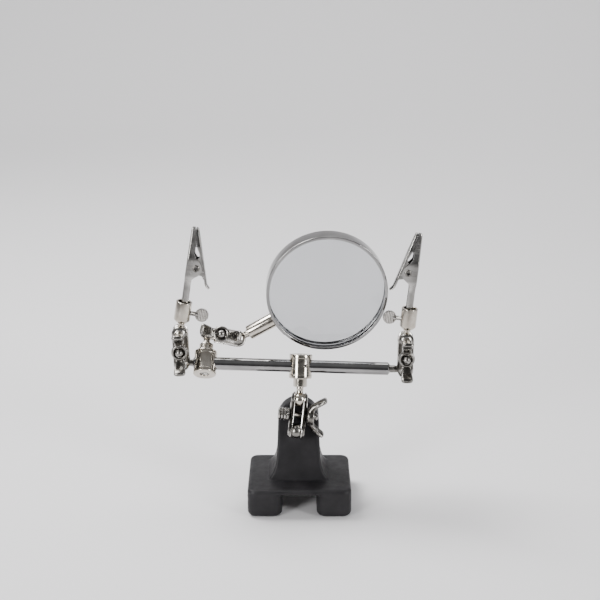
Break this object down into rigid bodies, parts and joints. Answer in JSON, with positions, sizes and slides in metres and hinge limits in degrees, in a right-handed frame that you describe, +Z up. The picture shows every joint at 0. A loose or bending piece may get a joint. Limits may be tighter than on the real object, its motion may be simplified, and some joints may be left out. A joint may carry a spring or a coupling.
{
  "type": "helping hands clamp",
  "caption": "Bench holder: a cast base with ball-jointed clamps carries a crossbar, two crocodile clips on jointed arms and a swivelling magnifier",
  "frame": {"origin": "centre of the whole object's box in X and Y, on the plane that the base's feet stand on", "axes": "+Z up, +X to the user's right along the crossbar, +Y away from the user"},
  "size_m": [0.1336, 0.0486, 0.1569],
  "materials": {
    "black_paint": "satin black paint over a cast surface",
    "nickel_steel": "pressed steel, nickel plated, fine wear",
    "nickel_brass": "turned brass, nickel plated, slightly warm",
    "chrome": "bright chrome plate",
    "glass": "clear polished lens"
  },
  "bodies": {
    "base": {"base_casting": "black_paint"},
    "base_stud_turn": {"base_ball_stud": "nickel_steel"},
    "crossbar_holder_turn": {"crossbar_holder": "nickel_brass"},
    "crossbar_slide": {"crossbar": "chrome"},
    "holder_set_screw_turn": {"holder_set_screw": "nickel_steel"},
    "left_bar_stud_turn": {"left_bar_ball_stud": "nickel_steel"},
    "left_clamp": {"left_clamp_bolt": "nickel_steel", "left_clamp_plate_back": "nickel_steel", "left_clamp_plate_front": "nickel_steel", "left_clamp_washer": "nickel_steel"},
    "left_clamp_nut_turn": {"left_clamp_wing_nut": "nickel_steel"},
    "left_clip_slide": {"left_clip_fixed_jaw": "nickel_steel", "left_clip_rivet": "nickel_steel", "left_clip_spring": "nickel_steel"},
    "left_jaw_turn": {"left_clip_moving_jaw": "nickel_steel"},
    "left_socket_swing": {"left_socket_ball_stud": "nickel_brass"},
    "left_socket_turn": {"left_clip_socket": "nickel_brass"},
    "left_thumb_screw_turn": {"left_thumb_screw": "nickel_steel"},
    "lens_stud_swing": {"lens_ball_stud": "nickel_brass"},
    "magnifier_ball_stud_turn": {"magnifier_ball_stud": "nickel_brass"},
    "magnifier_clamp": {"magnifier_clamp_bolt": "nickel_steel", "magnifier_clamp_plate_back": "nickel_steel", "magnifier_clamp_plate_front": "nickel_steel", "magnifier_clamp_washer": "nickel_steel"},
    "magnifier_clamp_nut_turn": {"magnifier_clamp_wing_nut": "nickel_steel"},
    "magnifier_sleeve_turn": {"magnifier_sleeve": "nickel_brass"},
    "magnifier_turn": {"lens": "glass", "lens_handle": "nickel_brass", "lens_ring": "chrome"},
    "post_ball_stud_swing": {"post_ball_stud": "nickel_brass"},
    "post_clamp": {"post_clamp_bolt": "nickel_steel", "post_clamp_plate_left": "nickel_steel", "post_clamp_plate_right": "nickel_steel", "post_clamp_washer": "nickel_steel"},
    "post_clamp_nut_turn": {"post_clamp_wing_nut": "nickel_steel"},
    "right_bar_stud_turn": {"right_bar_ball_stud": "nickel_steel"},
    "right_clamp": {"right_clamp_bolt": "nickel_steel", "right_clamp_plate_back": "nickel_steel", "right_clamp_plate_front": "nickel_steel", "right_clamp_washer": "nickel_steel"},
    "right_clamp_nut_turn": {"right_clamp_wing_nut": "nickel_steel"},
    "right_clip_slide": {"right_clip_fixed_jaw": "nickel_steel", "right_clip_rivet": "nickel_steel", "right_clip_spring": "nickel_steel"},
    "right_jaw_turn": {"right_clip_moving_jaw": "nickel_steel"},
    "right_socket_swing": {"right_socket_ball_stud": "nickel_brass"},
    "right_socket_turn": {"right_clip_socket": "nickel_brass"},
    "right_thumb_screw_turn": {"right_thumb_screw": "nickel_steel"},
    "sleeve_set_screw_turn": {"sleeve_set_screw": "nickel_steel"}
  },
  "joints": [
    {"name": "base_stud_turn", "type": "hinge", "parent": "base", "child": "base_stud_turn", "pos_m": [0.00038, -0.01125, 0.0458], "axis": [0, 0.9641, -0.2656], "range_deg": [-22, 22]},
    {"name": "post_clamp", "type": "hinge", "parent": "base_stud_turn", "child": "post_clamp", "pos_m": [0.00038, -0.01125, 0.0458], "axis": [0.9946, -0.0421, -0.0946], "range_deg": [-2, 45]},
    {"name": "post_clamp_nut_turn", "type": "hinge", "parent": "post_clamp", "child": "post_clamp_nut_turn", "pos_m": [0.00127, -0.00777, 0.05361], "axis": [0.9946, -0.0421, -0.0946], "range_deg": [-53, 4]},
    {"name": "post_ball_stud_swing", "type": "hinge", "parent": "post_clamp", "child": "post_ball_stud_swing", "pos_m": [0.00216, -0.00429, 0.06143], "axis": [-0.9946, 0.0421, 0.0946], "range_deg": [-35, 35]},
    {"name": "crossbar_holder_turn", "type": "hinge", "parent": "post_ball_stud_swing", "child": "crossbar_holder_turn", "pos_m": [0.00272, 0.00072, 0.07891], "axis": [0.031, 0.2755, 0.9608], "range_deg": [-45, 45]},
    {"name": "holder_set_screw_turn", "type": "hinge", "parent": "crossbar_holder_turn", "child": "holder_set_screw_turn", "pos_m": [0.00272, 0.00072, 0.07891], "axis": [0.031, 0.2755, 0.9608], "continuous": true},
    {"name": "crossbar_slide", "type": "slide", "parent": "crossbar_holder_turn", "child": "crossbar_slide", "axis": [0.9995, 0, -0.0323], "range_m": [-0.04, 0.037]},
    {"name": "left_bar_stud_turn", "type": "hinge", "parent": "crossbar_slide", "child": "left_bar_stud_turn", "pos_m": [-0.06194, 0.00072, 0.081], "axis": [0.9995, 0, -0.0323], "range_deg": [-45, 45]},
    {"name": "left_clamp", "type": "hinge", "parent": "left_bar_stud_turn", "child": "left_clamp", "pos_m": [-0.06194, 0.00072, 0.081], "axis": [0, -1, 0], "range_deg": [-8, 60]},
    {"name": "left_clamp_nut_turn", "type": "hinge", "parent": "left_clamp", "child": "left_clamp_nut_turn", "pos_m": [-0.06224, 0.00072, 0.0896], "axis": [0, -1, 0], "continuous": true},
    {"name": "left_socket_swing", "type": "hinge", "parent": "left_clamp", "child": "left_socket_swing", "pos_m": [-0.06254, 0.00072, 0.09819], "axis": [0, -1, 0], "range_deg": [-5, 75]},
    {"name": "left_socket_turn", "type": "hinge", "parent": "left_socket_swing", "child": "left_socket_turn", "pos_m": [-0.06254, 0.00072, 0.09819], "axis": [0.165, 0, 0.9863], "range_deg": [-90, 90]},
    {"name": "left_thumb_screw_turn", "type": "hinge", "parent": "left_socket_turn", "child": "left_thumb_screw_turn", "pos_m": [-0.06059, 0.00072, 0.10983], "axis": [0.9863, 0, -0.165], "continuous": true},
    {"name": "left_clip_slide", "type": "slide", "parent": "left_socket_turn", "child": "left_clip_slide", "axis": [0.165, 0, 0.9863], "range_m": [0, 0.008]},
    {"name": "left_jaw_turn", "type": "hinge", "parent": "left_clip_slide", "child": "left_jaw_turn", "pos_m": [-0.05255, 0.00072, 0.13485], "axis": [0, 1, 0], "range_deg": [0, 25], "stiffness_Nm_per_rad": 0.06, "springref_deg": -20.05, "deforming": ["left_clip_spring"]},
    {"name": "right_bar_stud_turn", "type": "hinge", "parent": "crossbar_slide", "child": "right_bar_stud_turn", "pos_m": [0.0597, 0.00072, 0.07708], "axis": [0.9995, 0, -0.0323], "range_deg": [0, 50]},
    {"name": "right_clamp", "type": "hinge", "parent": "right_bar_stud_turn", "child": "right_clamp", "pos_m": [0.0597, 0.00072, 0.07708], "axis": [0, 1, 0], "range_deg": [-10, 60]},
    {"name": "right_clamp_nut_turn", "type": "hinge", "parent": "right_clamp", "child": "right_clamp_nut_turn", "pos_m": [0.0597, 0.00072, 0.08568], "axis": [0, -1, 0], "continuous": true},
    {"name": "right_socket_swing", "type": "hinge", "parent": "right_clamp", "child": "right_socket_swing", "pos_m": [0.0597, 0.00072, 0.09427], "axis": [0, 1, 0], "range_deg": [-10, 75]},
    {"name": "right_socket_turn", "type": "hinge", "parent": "right_socket_swing", "child": "right_socket_turn", "pos_m": [0.0597, 0.00072, 0.09427], "axis": [0.0958, 0, 0.9954], "range_deg": [0, 90]},
    {"name": "right_thumb_screw_turn", "type": "hinge", "parent": "right_socket_turn", "child": "right_thumb_screw_turn", "pos_m": [0.06083, 0.00072, 0.10602], "axis": [-0.9954, 0, 0.0958], "continuous": true},
    {"name": "right_clip_slide", "type": "slide", "parent": "right_socket_turn", "child": "right_clip_slide", "axis": [0.0958, 0, 0.9954], "range_m": [0, 0.008]},
    {"name": "right_jaw_turn", "type": "hinge", "parent": "right_clip_slide", "child": "right_jaw_turn", "pos_m": [0.05954, 0.00072, 0.13226], "axis": [0, -1, 0], "range_deg": [0, 25], "stiffness_Nm_per_rad": 0.06, "springref_deg": -20.05, "deforming": ["right_clip_spring"]},
    {"name": "magnifier_sleeve_turn", "type": "hinge", "parent": "crossbar_slide", "child": "magnifier_sleeve_turn", "pos_m": [-0.04925, 0.00072, 0.08059], "axis": [0.9995, 0, -0.0323], "range_deg": [-50, 3]},
    {"name": "sleeve_set_screw_turn", "type": "hinge", "parent": "magnifier_sleeve_turn", "child": "sleeve_set_screw_turn", "pos_m": [-0.04925, 0.00072, 0.08059], "axis": [-0.0232, -0.6947, -0.719], "continuous": true},
    {"name": "magnifier_ball_stud_turn", "type": "hinge", "parent": "magnifier_sleeve_turn", "child": "magnifier_ball_stud_turn", "pos_m": [-0.04883, 0.01337, 0.09368], "axis": [-0.0232, -0.6947, -0.719], "range_deg": [-30, 0]},
    {"name": "magnifier_clamp", "type": "hinge", "parent": "magnifier_ball_stud_turn", "child": "magnifier_clamp", "pos_m": [-0.04883, 0.01337, 0.09368], "axis": [0, -0.8988, 0.4384], "range_deg": [-3, 25]},
    {"name": "magnifier_clamp_nut_turn", "type": "hinge", "parent": "magnifier_clamp", "child": "magnifier_clamp_nut_turn", "pos_m": [-0.04038, 0.01265, 0.0922], "axis": [0, -0.8988, 0.4384], "continuous": true},
    {"name": "lens_stud_swing", "type": "hinge", "parent": "magnifier_clamp", "child": "lens_stud_swing", "pos_m": [-0.03194, 0.01193, 0.09073], "axis": [0, -0.8988, 0.4384], "range_deg": [-5, 30]},
    {"name": "magnifier_turn", "type": "hinge", "parent": "lens_stud_swing", "child": "magnifier_turn", "pos_m": [-0.03194, 0.01193, 0.09073], "axis": [0.8704, 0, 0.4924], "range_deg": [-60, 15]}
  ]
}
